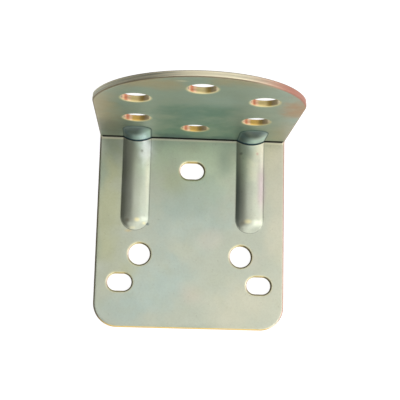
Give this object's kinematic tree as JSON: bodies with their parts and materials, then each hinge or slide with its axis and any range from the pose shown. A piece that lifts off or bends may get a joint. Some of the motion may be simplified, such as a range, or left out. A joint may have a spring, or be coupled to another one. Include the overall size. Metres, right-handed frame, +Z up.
{
  "type": "stamped metal bracket",
  "caption": "Right-angle mounting bracket stamped from zinc-plated sheet steel, with a slotted plate, a round-ended flange with a bolt circle and stiffening beads across the fold.",
  "frame": {"origin": "middle of the overall length and width, on the back face of the plate, which the bracket lies on", "axes": "+Z up, along the flange; +Y out of the back of the flange; +X across the width"},
  "size_m": [0.08, 0.084, 0.089],
  "materials": {
    "zinc_plated_steel": "satin zinc plating with a pale yellow-green passivated film"
  },
  "bodies": {
    "root": {"bracket": "zinc_plated_steel"}
  },
  "joints": []
}
